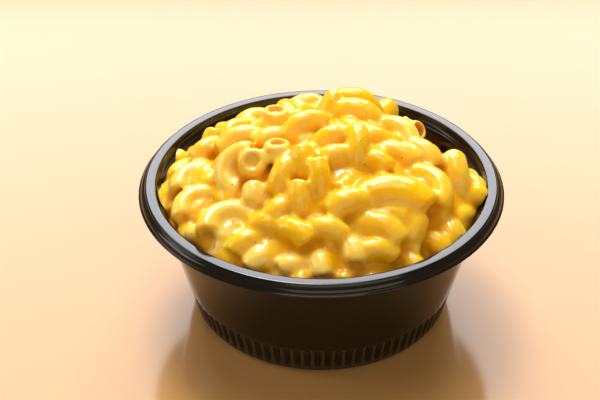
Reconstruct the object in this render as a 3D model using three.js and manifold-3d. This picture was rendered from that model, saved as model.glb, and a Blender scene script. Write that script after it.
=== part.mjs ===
// A takeaway bowl heaped with macaroni cheese: a thin black bowl with a stepped rim and a ring
// of flutes round its foot, and the elbow macaroni that stands in it in one sauced heap.
// Millimetres, +Z up, the origin at the middle of the base. Run with three and manifold-3d.

import * as THREE from 'three';
import { mergeVertices } from 'three/addons/utils/BufferGeometryUtils.js';
import Module from 'manifold-3d';

const wasm = await Module();
wasm.setup();

// ---- Driving dimensions: the bowl -------------------------------------------------------

const HEIGHT = 58; // base to the top of the rim
const WALL = 0.9; // thickness of the plastic
const TURNS = 42; // flats round the bowl, each with two flutes

const BASE_RADIUS = 49.5; // where the base meets its rounded edge
const BASE_HOLLOW_RADIUS = 44; // the underside is pushed up inside this radius
const BASE_HOLLOW_DEPTH = 1;
const BASE_HOLLOW_SLOPE = 0.6; // how much narrower the hollow is at its top
const FLOOR = BASE_HOLLOW_DEPTH + WALL; // top of the floor, inside
const FOOT_EDGE = { radius: 50.6, z: 0.6 }; // middle of that rounded edge

const FLUTE_COUNT = 2 * TURNS;
const FLUTE_FOOT = { radius: 52.6, z: 2.8 };
const FLUTE_TOP = { radius: 55.4, z: 14.2 };
const FLUTE_DEPTH = 0.6; // how far a flute is sunk below the ribs on both sides of it
const FLUTE_WIDTH = 2.7;
const FLUTE_MARGIN = 0.6; // plain wall above and below the flutes

const WALL_TOP = { radius: 64.5, z: 54 }; // where the wall meets the rim
const WALL_MIDDLE = 34; // height of the wall's middle, where it swells most
const WALL_BULGE = 0.5; // that swell outside a straight cone

const BAND_INNER_RADIUS = 66.1; // the flat band on top of the rim
const BAND_OUTER_RADIUS = 69.8;
const BAND_UNDERSIDE_DROP = 1.1; // from the rim's top down to the underside of the band
const STEP = { radius: 70.6, drop: 1 }; // foot of the small step outside the band
const SHOULDER = { radius: 72.4, drop: 2.3 }; // where the skirt bends over
const SKIRT_RADIUS = 73; // the skirt's lower edge, the widest place
const SKIRT_DROP = 4.1; // from the rim's top down to the skirt's lower edge
const LEDGE_DROP = 2.8; // from the rim's top down to the step that a lid sits on

// ---- Driving dimensions: the heap -------------------------------------------------------

const GAP = 0.3; // between the food and the bowl
const MOUND = { x: 2, y: 4, edge: 50, rise: 27, span: 64 }; // crown of the bare core
const DENTS = [ // where the heap has slumped away from the wall, and how much of it lies bare
  { x: 52, y: 38, depth: 12, spread: 15, bare: 14 },
  { x: 0, y: 68, depth: 9, spread: 20, bare: 8 },
  { x: -50, y: 44, depth: 5, spread: 12, bare: 8 },
];
const CORE_RINGS = [60, 48, 35, 22, 10];
const CORE_TURNS = 32;

const TUBE_RADIUS = 4.6; // a cooked, sauced elbow
const BORE_RADIUS = 2.7;
const BORE_DEPTH = 3.5;
const TUBE_SIDES = 7;
const BORE_SIDES = 5;
const STEP_DEGREES = 36; // of bend, for each straight length of a faceted elbow

// Elbows laid by hand, from the back of the heap to the front. Each row is the place of the
// elbow's middle in plan, its lift above the bare core, the heading and pitch of the line
// from end to end, the roll that turns its back from upright, its sweep, and the radius of
// its bend. Lengths are in millimetres and angles in degrees.
const LAID = [
  // the crown
  [13, 34, 9, -5, 0, -20, 150, 9],
  [15, 20, 5, -15, 0, -30, 130, 9],
  [5, 22, 5, 70, 45, -30, 90, 8],
  [26, 37, 5, 60, 20, 0, 90, 7],
  [37, 34, 5, -10, 0, -20, 80, 9],
  [-5, 38, 4, 5, 0, -20, 110, 8],
  [-18, 34, 3, 60, -5, -60, 90, 7],
  [-27, 34, 3, 15, 0, -20, 100, 8],
  [-45, 28, 3, 60, 50, 0, 80, 6],
  // the upper slope
  [-30, 6, 4, 5, 0, -30, 150, 8],
  [-7, 4, 5, 25, 10, -30, 110, 10],
  [-19, -2, 6, 60, -25, -70, 90, 7],
  [-39, -9, 5, 70, 40, -95, 190, 8],
  [-26, -6, 4, 40, -30, -60, 80, 7],
  [6, -4, 4, 10, 0, -20, 120, 8],
  [4, -16, 4, 15, 10, 0, 90, 7],
  [16, -8, 6, 80, 40, 20, 110, 9],
  [31, 12, 6, -35, 0, -50, 150, 9],
  [30, -4, 5, 75, 40, 30, 90, 9],
  [42, 0, 4, -30, 0, -20, 120, 8],
  [20, -16, 4, -20, 0, -40, 110, 7],
  // the left side
  [-59, 24, 2, 90, 20, -60, 90, 5],
  [-46, 10, 4, 40, 10, 0, 90, 8],
  [-57, 8, 2, 60, 0, -90, 110, 6],
  [-53, -2, 4, 40, 10, -80, 140, 8],
  [-62, -9, 3, 70, 30, -80, 100, 8],
  [-52, -17, 4, 45, 15, -80, 140, 8],
  [-41, -29, 5, 0, 0, -75, 160, 9],
  [-38, -40, 3, 30, -10, -20, 90, 8],
  // the middle of the front slope
  [-26, -28, 4, 90, 30, 10, 70, 6],
  [-15, -23, 5, 60, 30, -10, 100, 9],
  [-9, -34, 5, 90, 45, -30, 70, 9],
  [-7, -20, 6, 100, 45, 20, 70, 9],
  [-1, -28, 5, 95, 50, 30, 80, 11],
  [-17, -36, 3, 40, 20, 0, 80, 6],
  [9, -36, 5, 20, 5, 0, 100, 8],
  // the right side
  [26, -24, 5, -5, 0, -60, 165, 12],
  [47, -16, 5, -60, -10, -60, 130, 11],
  [53, 2, 6, -70, 10, 10, 90, 8],
  [60, -2, 3, -50, 0, -40, 90, 7],
  [58, -12, 3, 10, 10, 0, 90, 8],
  [21, -39, 4, -25, -5, -20, 110, 10],
  [33, -43, 5, 80, 60, 30, 90, 8],
  [49, -35, 2, 90, 30, 0, 80, 6],
  [43, -42, 3, 130, 20, 0, 80, 6],
  // along the front rim
  [-27, -44, 3, 20, 0, -20, 120, 8],
  [-24, -51, 3, 40, 15, 0, 80, 7],
  [-11, -54, 1, 10, 0, 0, 80, 7],
  [-21, -40, 3, -10, 0, 0, 90, 7],
  [-10, -45, 4, -40, 0, -10, 100, 8],
  [1, -45, 4, -10, 0, -10, 110, 8],
  [-1, -55, 2, 100, 15, 0, 80, 7],
  [11, -51, 3, 110, 15, 30, 90, 7],
  [19, -50, 3, 5, 0, -20, 100, 10],
];

// The rest of the heap is covered by rule: elbows on rings round the crown, each turned by a
// seeded draw, wherever none lies yet.
const FILL_SEED = 41;
const FILL_RINGS = [8, 20, 32, 44, 55];
const FILL_PITCH = 13; // between neighbours on a ring
const FILL_CLEAR = 9.5; // least distance between the middles of two elbows
const FILL_REACH = 57.5; // furthest from the bowl's axis
const FILL_SHIFT = { steps: 0.3, radius: 2 }; // most that an elbow strays along and off its ring
const FILL_RANGES = [[0.5, 3], [0, 360], [-10, 20], [-60, 60], [80, 140], [7, 9]]; // lift and on

// ---- Helpers ----------------------------------------------------------------------------

const WELD = 1e-3; // corners closer than this are one
const radians = THREE.MathUtils.degToRad;

/** A closed geometry as a manifold-3d solid, with its faces turned out. */
function toSolid(source) {
  const bare = source.clone();
  bare.deleteAttribute('normal');
  bare.deleteAttribute('uv');
  const merged = mergeVertices(bare, WELD);
  const vertProperties = new Float32Array(merged.getAttribute('position').array);
  const corners = Array.from(merged.getIndex().array);
  const triVerts = [];
  for (let i = 0; i < corners.length; i += 3) {
    const [a, b, c] = corners.slice(i, i + 3);
    if (a !== b && b !== c && c !== a) triVerts.push(a, b, c);
  }
  if (signedVolume(vertProperties, triVerts) < 0) triVerts.reverse();
  const mesh = new wasm.Mesh({ numProp: 3, vertProperties, triVerts: new Uint32Array(triVerts) });
  return new wasm.Manifold(mesh);
}

/** Volume under a mesh's triangles, negative when they face inwards. */
function signedVolume(points, triangles) {
  const corner = (i) => new THREE.Vector3().fromArray(points, 3 * triangles[i]);
  let sum = 0;
  for (let i = 0; i < triangles.length; i += 3) {
    sum += corner(i).dot(corner(i + 1).cross(corner(i + 2))) / 6;
  }
  return sum;
}

/** The largest shell of a solid: sealed hollows are filled and loose scraps dropped. */
function largestShell(solid) {
  return solid.decompose().reduce((best, shell) => (shell.volume() > best.volume() ? shell : best));
}

/** A manifold-3d solid as a three.js geometry. */
function toGeometry(solid) {
  const { vertProperties, triVerts } = solid.getMesh();
  const geometry = new THREE.BufferGeometry();
  geometry.setAttribute('position', new THREE.BufferAttribute(vertProperties, 3));
  geometry.setIndex(new THREE.BufferAttribute(triVerts, 1));
  geometry.computeVertexNormals();
  return geometry;
}

/** A manifold-3d solid as a named three.js mesh. */
function toMesh(name, solid, material) {
  const mesh = new THREE.Mesh(toGeometry(solid), material);
  mesh.name = name;
  return mesh;
}

/** Spins a profile of [radius, height] points about +Z. */
function spin(profile, turns) {
  const points = profile.map(([radius, z]) => new THREE.Vector2(radius, z));
  return new THREE.LatheGeometry(points, turns).rotateX(Math.PI / 2);
}

// ---- The bowl ---------------------------------------------------------------------------

/** Radius of the wall's outside at a height between the flutes and the rim. */
function wallRadius(z) {
  const share = (z - FLUTE_TOP.z) / (WALL_TOP.z - FLUTE_TOP.z);
  const cone = THREE.MathUtils.lerp(FLUTE_TOP.radius, WALL_TOP.radius, share);
  return cone + 4 * WALL_BULGE * share * (1 - share);
}

/** The space in the bowl and over its rim, held clear of the plastic by a clearance. */
function roomProfile(clearance, overRim) {
  const lower = [
    [0, FLOOR + clearance],
    [BASE_RADIUS - WALL - clearance, FLOOR + clearance],
    [FLUTE_FOOT.radius - WALL - clearance, FLUTE_FOOT.z + WALL + clearance],
  ];
  const heights = [FLUTE_TOP.z, WALL_MIDDLE, WALL_TOP.z];
  const wall = heights.map((z) => [wallRadius(z) - WALL - clearance, z]);
  const upper = [
    [BAND_INNER_RADIUS - WALL - clearance, HEIGHT - LEDGE_DROP + clearance],
    [BAND_INNER_RADIUS - clearance, HEIGHT + clearance],
    [overRim, HEIGHT + clearance],
    [overRim, 2 * HEIGHT],
    [0, 2 * HEIGHT],
  ];
  return [...lower, ...wall, ...upper];
}

/** What is taken out of the wall for one flute, on the +X side of the bowl. */
function flute() {
  const beyond = 2; // the cut starts well outside the wall
  const rise = 0.3; // and its upper end climbs a little on the way out
  const side = new THREE.Shape([
    new THREE.Vector2(FLUTE_TOP.radius + beyond, FLUTE_TOP.z + rise),
    new THREE.Vector2(FLUTE_TOP.radius - FLUTE_DEPTH, FLUTE_TOP.z - FLUTE_DEPTH),
    new THREE.Vector2(FLUTE_FOOT.radius - FLUTE_DEPTH, FLUTE_FOOT.z),
    new THREE.Vector2(FLUTE_FOOT.radius + beyond, FLUTE_FOOT.z),
  ]);
  const slab = new THREE.ExtrudeGeometry(side, { depth: FLUTE_WIDTH, bevelEnabled: false });
  return slab.translate(0, 0, -FLUTE_WIDTH / 2).rotateX(Math.PI / 2);
}

function bowlSolid() {
  const skirtFoot = HEIGHT - SKIRT_DROP;
  const underside = HEIGHT - BAND_UNDERSIDE_DROP;
  const rim = [
    [0, HEIGHT],
    [BAND_OUTER_RADIUS, HEIGHT],
    [STEP.radius, HEIGHT - STEP.drop],
    [SHOULDER.radius, HEIGHT - SHOULDER.drop],
    [SKIRT_RADIUS, skirtFoot],
    [SKIRT_RADIUS - WALL, skirtFoot],
    [BAND_OUTER_RADIUS, underside],
    [BAND_INNER_RADIUS + WALL, underside],
    [BAND_INNER_RADIUS, HEIGHT - LEDGE_DROP - WALL],
  ];
  const wall = [WALL_TOP.z, WALL_MIDDLE, FLUTE_TOP.z + FLUTE_MARGIN].map((z) => [wallRadius(z), z]);
  const foot = [
    [FLUTE_FOOT.radius, FLUTE_FOOT.z - FLUTE_MARGIN],
    [FOOT_EDGE.radius, FOOT_EDGE.z],
    [BASE_RADIUS, 0],
    [BASE_HOLLOW_RADIUS, 0],
    [BASE_HOLLOW_RADIUS - BASE_HOLLOW_SLOPE, BASE_HOLLOW_DEPTH],
    [0, BASE_HOLLOW_DEPTH],
  ];
  const room = toSolid(spin(roomProfile(0, BAND_INNER_RADIUS), TURNS));
  let bowl = toSolid(spin([...rim, ...wall, ...foot], TURNS)).subtract(room);
  for (let i = 0; i < FLUTE_COUNT; i += 1) {
    const angle = (2 * Math.PI * (i + 0.5)) / FLUTE_COUNT;
    bowl = bowl.subtract(toSolid(flute().rotateZ(angle)));
  }
  return bowl;
}

// ---- The heap ---------------------------------------------------------------------------

/** Height of the bare core's top at a place in plan. */
function moundHeight(x, y) {
  const reach = Math.hypot(x - MOUND.x, y - MOUND.y) / MOUND.span;
  let height = MOUND.edge + MOUND.rise * Math.max(0, 1 - reach ** 2);
  for (const dent of DENTS) {
    const away = Math.hypot(x - dent.x, y - dent.y) / dent.spread;
    height -= dent.depth * Math.exp(-(away ** 2) / 2);
  }
  return height;
}

/** The core: a plug wider than the bowl, crowned by the mound. */
function coreSolid() {
  const marked = 2 * HEIGHT; // for the points that are then set to the mound's height
  const rings = CORE_RINGS.map((radius) => [radius, marked]);
  const profile = [[0, 0], [SKIRT_RADIUS, 0], [SKIRT_RADIUS, marked], ...rings, [0, marked]];
  const geometry = spin(profile, CORE_TURNS);
  const position = geometry.getAttribute('position');
  for (let i = 0; i < position.count; i += 1) {
    if (position.getZ(i) > HEIGHT) {
      position.setZ(i, moundHeight(position.getX(i), position.getY(i)));
    }
  }
  return toSolid(geometry);
}

/** A bent line in the XZ plane: its middle at the origin, its ends drooping below. */
class Bend extends THREE.Curve {
  constructor(radius, from, to) {
    super();
    Object.assign(this, { radius, from, to });
  }

  getPoint(share, target = new THREE.Vector3()) {
    const angle = THREE.MathUtils.lerp(this.from, this.to, share);
    return target.set(this.radius * Math.sin(angle), 0, this.radius * (Math.cos(angle) - 1));
  }
}

/** A many-sided rod along a bend. */
function rod(radius, bend, steps) {
  const corners = [];
  for (let i = 0; i < TUBE_SIDES; i += 1) {
    const angle = (2 * Math.PI * (i + 0.5)) / TUBE_SIDES;
    corners.push(new THREE.Vector2(radius * Math.cos(angle), radius * Math.sin(angle)));
  }
  const section = new THREE.Shape(corners);
  return new THREE.ExtrudeGeometry(section, { steps, extrudePath: bend, bevelEnabled: false });
}

/** The hollow in an elbow's end: a cone with its axis along X and its base to +X. */
function bore() {
  const past = 0.4; // the base stands this far outside the elbow's end
  const cone = new THREE.ConeGeometry(BORE_RADIUS, BORE_DEPTH, BORE_SIDES);
  return cone.rotateZ(Math.PI / 2).translate(past - BORE_DEPTH / 2, 0, 0);
}

/** One elbow, open at both ends, in its own frame. */
function elbow(sweepDegrees, bendRadius) {
  const half = radians(sweepDegrees) / 2;
  const steps = Math.max(3, Math.round(sweepDegrees / STEP_DEGREES));
  const solid = toSolid(rod(TUBE_RADIUS, new Bend(bendRadius, -half, half), steps));
  const end = [bendRadius * Math.sin(half), 0, bendRadius * (Math.cos(half) - 1)];
  const right = toSolid(bore().rotateY(half).translate(...end));
  return solid.subtract(right).subtract(right.rotate([0, 0, 180]));
}

/** Where an elbow goes: its chord turned by heading and pitch, then rolled about the chord. */
function placing([x, y, lift, heading, pitch, roll]) {
  const turn = new THREE.Matrix4().makeRotationZ(radians(heading));
  const tilt = new THREE.Matrix4().makeRotationY(-radians(pitch));
  const twist = new THREE.Matrix4().makeRotationX(radians(roll));
  const place = new THREE.Matrix4().makeTranslation(x, y, moundHeight(x, y) + lift);
  return place.multiply(turn).multiply(tilt).multiply(twist);
}

/** Rows like those of LAID for the elbows that are placed by rule. */
function fillRows() {
  let state = FILL_SEED;
  const draw = (low, high) => {
    state = (state * 16807) % 2147483647;
    return low + ((high - low) * state) / 2147483647;
  };
  const rows = [];
  const taken = LAID.map(([x, y]) => [x, y]);
  for (const ring of FILL_RINGS) {
    const count = Math.round((2 * Math.PI * ring) / FILL_PITCH);
    for (let i = 0; i < count; i += 1) {
      const strayed = i + draw(-FILL_SHIFT.steps, FILL_SHIFT.steps);
      const angle = (2 * Math.PI * strayed) / count;
      const radius = ring + draw(-FILL_SHIFT.radius, FILL_SHIFT.radius);
      const x = radius * Math.cos(angle);
      const y = radius * Math.sin(angle);
      const row = [x, y, ...FILL_RANGES.map(([low, high]) => draw(low, high))];
      const near = taken.some(([u, v]) => Math.hypot(u - x, v - y) < FILL_CLEAR);
      const slumped = DENTS.some((dent) => Math.hypot(dent.x - x, dent.y - y) < dent.bare);
      if (!near && !slumped && Math.hypot(x, y) < FILL_REACH) {
        rows.push(row);
        taken.push([x, y]);
      }
    }
  }
  return rows;
}

function heapSolid() {
  let heap = coreSolid();
  for (const row of [...LAID, ...fillRows()]) {
    const [sweep, bendRadius] = row.slice(6);
    heap = heap.add(elbow(sweep, bendRadius).transform(placing(row).elements));
  }
  const room = toSolid(spin(roomProfile(GAP, BAND_OUTER_RADIUS), TURNS));
  const trimmed = heap.intersect(room);
  return largestShell(toSolid(toGeometry(trimmed))); // welding can close a hollow off
}

// ---- The part ---------------------------------------------------------------------------

const plastic = new THREE.MeshStandardMaterial({ color: 0x17130f, roughness: 0.25, metalness: 0 });
const pasta = new THREE.MeshStandardMaterial({ color: 0xf7c443, roughness: 0.35, metalness: 0 });

const part = new THREE.Group();
part.add(toMesh('bowl', bowlSolid(), plastic));
part.add(toMesh('macaroni_heap', heapSolid(), pasta));

export default part;
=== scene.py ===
# %% [markdown]
# # Macaroni cheese in a takeaway bowl
#
# This lesson dresses a small, plain model with everything that the eye expects of the real food. The
# plain model gives the sizes: a thin black bowl and one rough heap. We load it first and keep it fixed,
# then build a finer bowl and a finer heap in the same places, give both their materials, and light them.

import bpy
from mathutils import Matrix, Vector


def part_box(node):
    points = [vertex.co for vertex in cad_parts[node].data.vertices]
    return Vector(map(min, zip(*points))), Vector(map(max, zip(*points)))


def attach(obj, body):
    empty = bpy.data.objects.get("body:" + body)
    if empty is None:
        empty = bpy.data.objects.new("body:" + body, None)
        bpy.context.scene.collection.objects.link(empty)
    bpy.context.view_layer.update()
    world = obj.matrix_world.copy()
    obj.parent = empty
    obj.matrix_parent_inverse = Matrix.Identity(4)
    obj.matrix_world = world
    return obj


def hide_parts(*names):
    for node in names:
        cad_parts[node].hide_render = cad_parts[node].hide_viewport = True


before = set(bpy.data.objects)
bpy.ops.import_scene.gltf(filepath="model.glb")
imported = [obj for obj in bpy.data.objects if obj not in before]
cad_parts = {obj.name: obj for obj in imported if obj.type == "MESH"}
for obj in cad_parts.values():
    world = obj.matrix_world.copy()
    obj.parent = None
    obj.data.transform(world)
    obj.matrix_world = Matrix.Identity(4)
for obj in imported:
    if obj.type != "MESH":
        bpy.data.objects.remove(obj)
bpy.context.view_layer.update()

# %% [markdown]
# Blender measures in metres, but a bowl is easier to think about in millimetres, so lengths are written
# as millimetres and multiplied by MM where they meet Blender. Everything random in this lesson comes
# from one small seeded draw, so that every run gives the same bowl.

# %% Units, random draws and modules
import math

import bpy
import numpy as np
from mathutils import Matrix, Vector
from mathutils.kdtree import KDTree

MM = 0.001
DRAW_FACTOR = 16807
DRAW_LIMIT = 2**31 - 1
bowl_low, bowl_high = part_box("bowl")
HEIGHT = bowl_high.z / MM  # of the rim's top
RIM_RADIUS = (bowl_high.y - bowl_low.y) / 2 / MM


def seeded_draws(seed):
    """Gives a function that draws evenly between two limits, always the same row of numbers for a seed."""
    state = seed

    def draw(low, high):
        nonlocal state
        state = (state * DRAW_FACTOR) % DRAW_LIMIT
        return low + (high - low) * state / DRAW_LIMIT

    return draw


print(f"rim {2 * RIM_RADIUS:.1f} mm across, {HEIGHT:.1f} mm high")

# %% [markdown]
# An operator works on all that is selected, and the plain model is still selected after loading. These
# helpers start each step from an empty selection, move in and out of edit mode, and apply a modifier or
# a piece's place, so that a finished piece has its shape and place in its mesh alone.

# %% Helpers for modelling with operators


def select_only(*pieces):
    """Leaves just these pieces selected, the first one active."""
    if bpy.context.object and bpy.context.object.mode != "OBJECT":
        bpy.ops.object.mode_set(mode="OBJECT")
    bpy.ops.object.select_all(action="DESELECT")
    for piece in pieces:
        piece.select_set(True)
    bpy.context.view_layer.objects.active = pieces[0]


def start_piece(name):
    """Names the primitive that was just added, and opens it in edit mode with everything selected."""
    piece = bpy.context.object
    piece.name = piece.data.name = name
    bpy.ops.object.mode_set(mode="EDIT")
    bpy.ops.mesh.select_all(action="SELECT")
    return piece


def finish_piece(piece):
    """Leaves edit mode with the normals turned out and the place moved into the mesh."""
    bpy.ops.mesh.select_all(action="SELECT")
    bpy.ops.mesh.normals_make_consistent(inside=False)
    bpy.ops.object.mode_set(mode="OBJECT")
    select_only(piece)
    bpy.ops.object.transform_apply(location=True, rotation=True, scale=True)
    return piece


def select_parts(piece, kind, wanted):
    """In edit mode, selects the faces ("FACE") or vertices ("VERT") for which wanted(part) is true."""
    bpy.ops.mesh.select_all(action="DESELECT")
    bpy.ops.mesh.select_mode(type=kind)
    bpy.ops.object.mode_set(mode="OBJECT")
    for part in piece.data.polygons if kind == "FACE" else piece.data.vertices:
        part.select = wanted(part)
    bpy.ops.object.mode_set(mode="EDIT")


def apply_modifier(piece, kind, **settings):
    """Adds one modifier with these settings and applies it."""
    select_only(piece)
    modifier = piece.modifiers.new(kind.lower(), kind)
    for setting, value in settings.items():
        setattr(modifier, setting, value)
    bpy.ops.object.modifier_apply(modifier=modifier.name)


def spun_piece(name, profile, turns):
    """A closed round body: a disc that is extruded and resized from ring to ring of its profile."""
    radius, height = profile[0]
    half_step = math.pi / turns
    bpy.ops.mesh.primitive_circle_add(
        vertices=turns,
        radius=radius * MM,
        fill_type="NGON",
        location=(0, 0, height * MM),
        rotation=(0, 0, half_step),
    )
    piece = start_piece(name)
    for next_radius, next_height in profile[1:]:
        rise = (0, 0, (next_height - height) * MM)
        bpy.ops.mesh.extrude_region_move(TRANSFORM_OT_translate={"value": rise})
        scale = next_radius / radius
        bpy.ops.transform.resize(value=(scale, scale, 1), center_override=(0, 0, next_height * MM))
        radius, height = next_radius, next_height
    return finish_piece(piece)


def triangles(piece):
    """How many triangles a piece's mesh makes."""
    piece.data.calc_loop_triangles()
    return len(piece.data.loop_triangles)


# %% [markdown]
# The camera looks down into the bowl at about 34 degrees, from 60 cm away, through a fairly long lens.
# That is how one sees a bowl of food when sitting down to it.

# %% Camera
CAMERA_PLACE = Vector((-8.5, -473.1, 369.5)) * MM
CAMERA_DOWN = math.radians(34.27)
CAMERA_ROLL = math.radians(-0.37)
CAMERA_LENS = 85
CAMERA_SENSOR = 36

camera_data = bpy.data.cameras.new("camera")
camera_data.lens = CAMERA_LENS
camera_data.sensor_width = CAMERA_SENSOR
camera = bpy.data.objects.new("camera", camera_data)
bpy.context.scene.collection.objects.link(camera)
tilt = Matrix.Rotation(math.pi / 2 - CAMERA_DOWN, 4, "X")
roll = Matrix.Rotation(CAMERA_ROLL, 4, "Z")
camera.matrix_world = Matrix.Translation(CAMERA_PLACE) @ tilt @ roll
bpy.context.scene.camera = camera
print("camera", round(CAMERA_PLACE.length / MM), "mm from the bowl's foot")

# %% [markdown]
# ## The bowl
#
# The real bowl is one sheet of black plastic, pressed into a mould: a flat ring to stand on, a wall
# that leans out, and a rim with a seat for a lid, a flat band on top and a skirt that turns down. All of
# it is round, so we draw half of its section, from the middle of the underside out, up, over the rim and
# back down inside, and extrude a disc along it. Subdivision then rounds each corner, by less where two
# points lie close together.

# %% Sizes of the bowl
WALL = 0.9
BASE_RADIUS = 49.5
BASE_HOLLOW_RADIUS = 44.0
BASE_HOLLOW_DEPTH = 1.0
FLOOR_TOP = BASE_HOLLOW_DEPTH + WALL
FLOOR_DISC_RADIUS = 20
FLUTE_FOOT = (52.6, 2.8)
FLUTE_TOP = (55.4, 14.2)
WALL_TOP = (64.5, 54.0)
WALL_BULGE = 0.5
BAND_INNER_RADIUS = 66.1
BAND_OUTER_RADIUS = 69.8
BAND_UNDERSIDE_DROP = 1.1
LEDGE_DROP = 2.8
SKIRT_DROP = 4.1
FLUTE_DEPTH = 0.7
SCOOP_DEPTH = 0.5
POCKET_DEPTH = FLUTE_DEPTH + SCOOP_DEPTH
FLUTE_ROWS = [2.9, 6.0, 8.5, 11.0, 14.1]  # heights of the section's points
WALL_ROWS = [15.2, 18, 24, 31, 38, 45, 51]
print(f"wall {WALL} mm thick, foot {2 * BASE_RADIUS:.0f} mm across")

# %% [markdown]
# The outside leans out as a straight cone, with a slight bulge half way up. The rows of points along the
# flutes are set by where the flutes need edges, and those of the wall only by how round the bulge is.

# %% Outside of the bowl


def wall_radius(height):
    """Radius of the wall's outside between the flutes and the rim."""
    share = (height - FLUTE_TOP[1]) / (WALL_TOP[1] - FLUTE_TOP[1])
    cone = FLUTE_TOP[0] + (WALL_TOP[0] - FLUTE_TOP[0]) * share
    return cone + 4 * WALL_BULGE * share * (1 - share)


def flute_radius(height):
    """Radius of the wall's outside along the flutes."""
    share = (height - FLUTE_FOOT[1]) / (FLUTE_TOP[1] - FLUTE_FOOT[1])
    return FLUTE_FOOT[0] + (FLUTE_TOP[0] - FLUTE_FOOT[0]) * share


underside = [
    (BASE_HOLLOW_RADIUS - 1.0, BASE_HOLLOW_DEPTH),
    (BASE_HOLLOW_RADIUS - 0.5, BASE_HOLLOW_DEPTH),
    (BASE_HOLLOW_RADIUS, 0.05),
    (BASE_HOLLOW_RADIUS + 0.5, 0),
    (BASE_RADIUS - 0.6, 0),
    (BASE_RADIUS + 0.2, 0.1),
    (50.9, 0.8),
    (52.0, 1.9),
]
outside = [(flute_radius(z), z) for z in FLUTE_ROWS] + [(wall_radius(z), z) for z in WALL_ROWS]
neck = [
    (wall_radius(53.4), 53.4),
    (wall_radius(53.9), 53.9),
    (BAND_INNER_RADIUS - 0.2, HEIGHT - 3.7),
    (BAND_INNER_RADIUS + 0.25, HEIGHT - 3.1),
    (BAND_INNER_RADIUS + 0.5, HEIGHT - 1.7),
    (BAND_INNER_RADIUS + 1.1, HEIGHT - BAND_UNDERSIDE_DROP),
]
print("points outside:", len(underside + outside + neck))

# %% [markdown]
# A lid clips over the rim, so the rim has the finest steps. The skirt turns down and stiffens the edge, a
# small shoulder runs along its top, and inside the band a seat goes down in two steps to the wall. Its
# heights are measured down from the top of the band.

# %% Rim
skirt_inside = [
    (BAND_OUTER_RADIUS - 0.6, HEIGHT - BAND_UNDERSIDE_DROP),
    (BAND_OUTER_RADIUS + 0.1, HEIGHT - 1.4),
    (BAND_OUTER_RADIUS + 1.4, HEIGHT - 2.7),
    (RIM_RADIUS - 1.35, HEIGHT - 4.0),
    (RIM_RADIUS - 1.1, HEIGHT - SKIRT_DROP),
]
skirt_outside = [
    (RIM_RADIUS - 0.3, HEIGHT - SKIRT_DROP),
    (RIM_RADIUS, HEIGHT - SKIRT_DROP + 0.12),
    (RIM_RADIUS, HEIGHT - 3.65),
    (RIM_RADIUS - 0.3, HEIGHT - 3.45),
    (RIM_RADIUS - 0.75, HEIGHT - 3.3),
    (RIM_RADIUS - 0.85, HEIGHT - 2.8),
    (RIM_RADIUS - 1.2, HEIGHT - 1.9),
    (RIM_RADIUS - 1.9, HEIGHT - 1.3),
    (RIM_RADIUS - 2.45, HEIGHT - 1.05),
    (BAND_OUTER_RADIUS + 0.55, HEIGHT - 0.8),
    (BAND_OUTER_RADIUS + 0.4, HEIGHT - 0.25),
]
band = [
    (BAND_OUTER_RADIUS - 0.1, HEIGHT),
    (BAND_OUTER_RADIUS - 0.8, HEIGHT),
    (BAND_INNER_RADIUS + 0.7, HEIGHT),
    (BAND_INNER_RADIUS + 0.15, HEIGHT - 0.05),
]
seat = [
    (BAND_INNER_RADIUS - 0.1, HEIGHT - 0.4),
    (BAND_INNER_RADIUS - 0.6, HEIGHT - 2.3),
    (BAND_INNER_RADIUS - 0.95, HEIGHT - LEDGE_DROP),
    (BAND_INNER_RADIUS - 1.9, HEIGHT - 3.5),
    (WALL_TOP[0] - WALL - 0.1, HEIGHT - 4.1),
]
print("points round the rim:", len(skirt_inside + skirt_outside + band + seat))

# %% [markdown]
# The inside follows the wall one thickness away. Behind the flutes it stays plain, and lies far enough in
# to clear their pockets.

# %% Inside of the bowl
inside = [(wall_radius(z) - WALL, z) for z in reversed(WALL_ROWS)]
bottom = [
    *[(flute_radius(z) - WALL - POCKET_DEPTH, z) for z in (FLUTE_ROWS[-1], FLUTE_ROWS[2])],
    (FLUTE_FOOT[0] - WALL - POCKET_DEPTH, 3.9),
    (BASE_RADIUS - WALL + 0.4, FLOOR_TOP + 0.2),
    (BASE_RADIUS - WALL - 1.0, FLOOR_TOP),
    (FLOOR_DISC_RADIUS, FLOOR_TOP),
]
section = underside + outside + neck + skirt_inside + skirt_outside + band + seat + inside + bottom
print("points in the section:", len(section))

# %% [markdown]
# Round the foot runs a band of short flutes, which stiffen the thin plastic: narrow ribs, with wider
# pockets sunk between them. Each pocket is a group of faces, inset as one and then drawn in towards the
# bowl's axis, and its middle is drawn in further, so that it is a scoop. The foot of the pocket is let out
# again, so that it fades into the wall. Four faces go to a flute, one for the rib and three for the
# pocket, so the bowl has four times as many turns as flutes.

# %% Model the bowl
FLUTE_COUNT = 84
FACES_PER_FLUTE = 4
POCKET_COLUMNS = (1, 2, 3)
SCOOP_COLUMN = 2
FLUTE_SLOPE = 0.6
FADED_DEPTH = 0.6
FADED_BELOW = 4.5
TURNS = FLUTE_COUNT * FACES_PER_FLUTE

bowl = spun_piece("bowl_shell", section, TURNS)


def flute_column(face):
    """Which column of its flute an outside face belongs to, 0 on the rib, or None away from the flutes."""
    x, y, z = face.center
    if not FLUTE_ROWS[0] * MM < z < FLUTE_ROWS[-1] * MM or Vector((x, y)).dot(face.normal.xy) < 0:
        return None
    return round(math.atan2(y, x) / (2 * math.pi) * TURNS) % FACES_PER_FLUTE


def in_scoop(face):
    """True for a face in the middle of its pocket."""
    return flute_column(face) == SCOOP_COLUMN and FLUTE_ROWS[1] < face.center.z / MM < FLUTE_ROWS[-2]


def at_foot(corner):
    """True for a vertex at the foot of its pocket."""
    return bowl.data.vertices[corner].co.z < FADED_BELOW * MM


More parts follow.
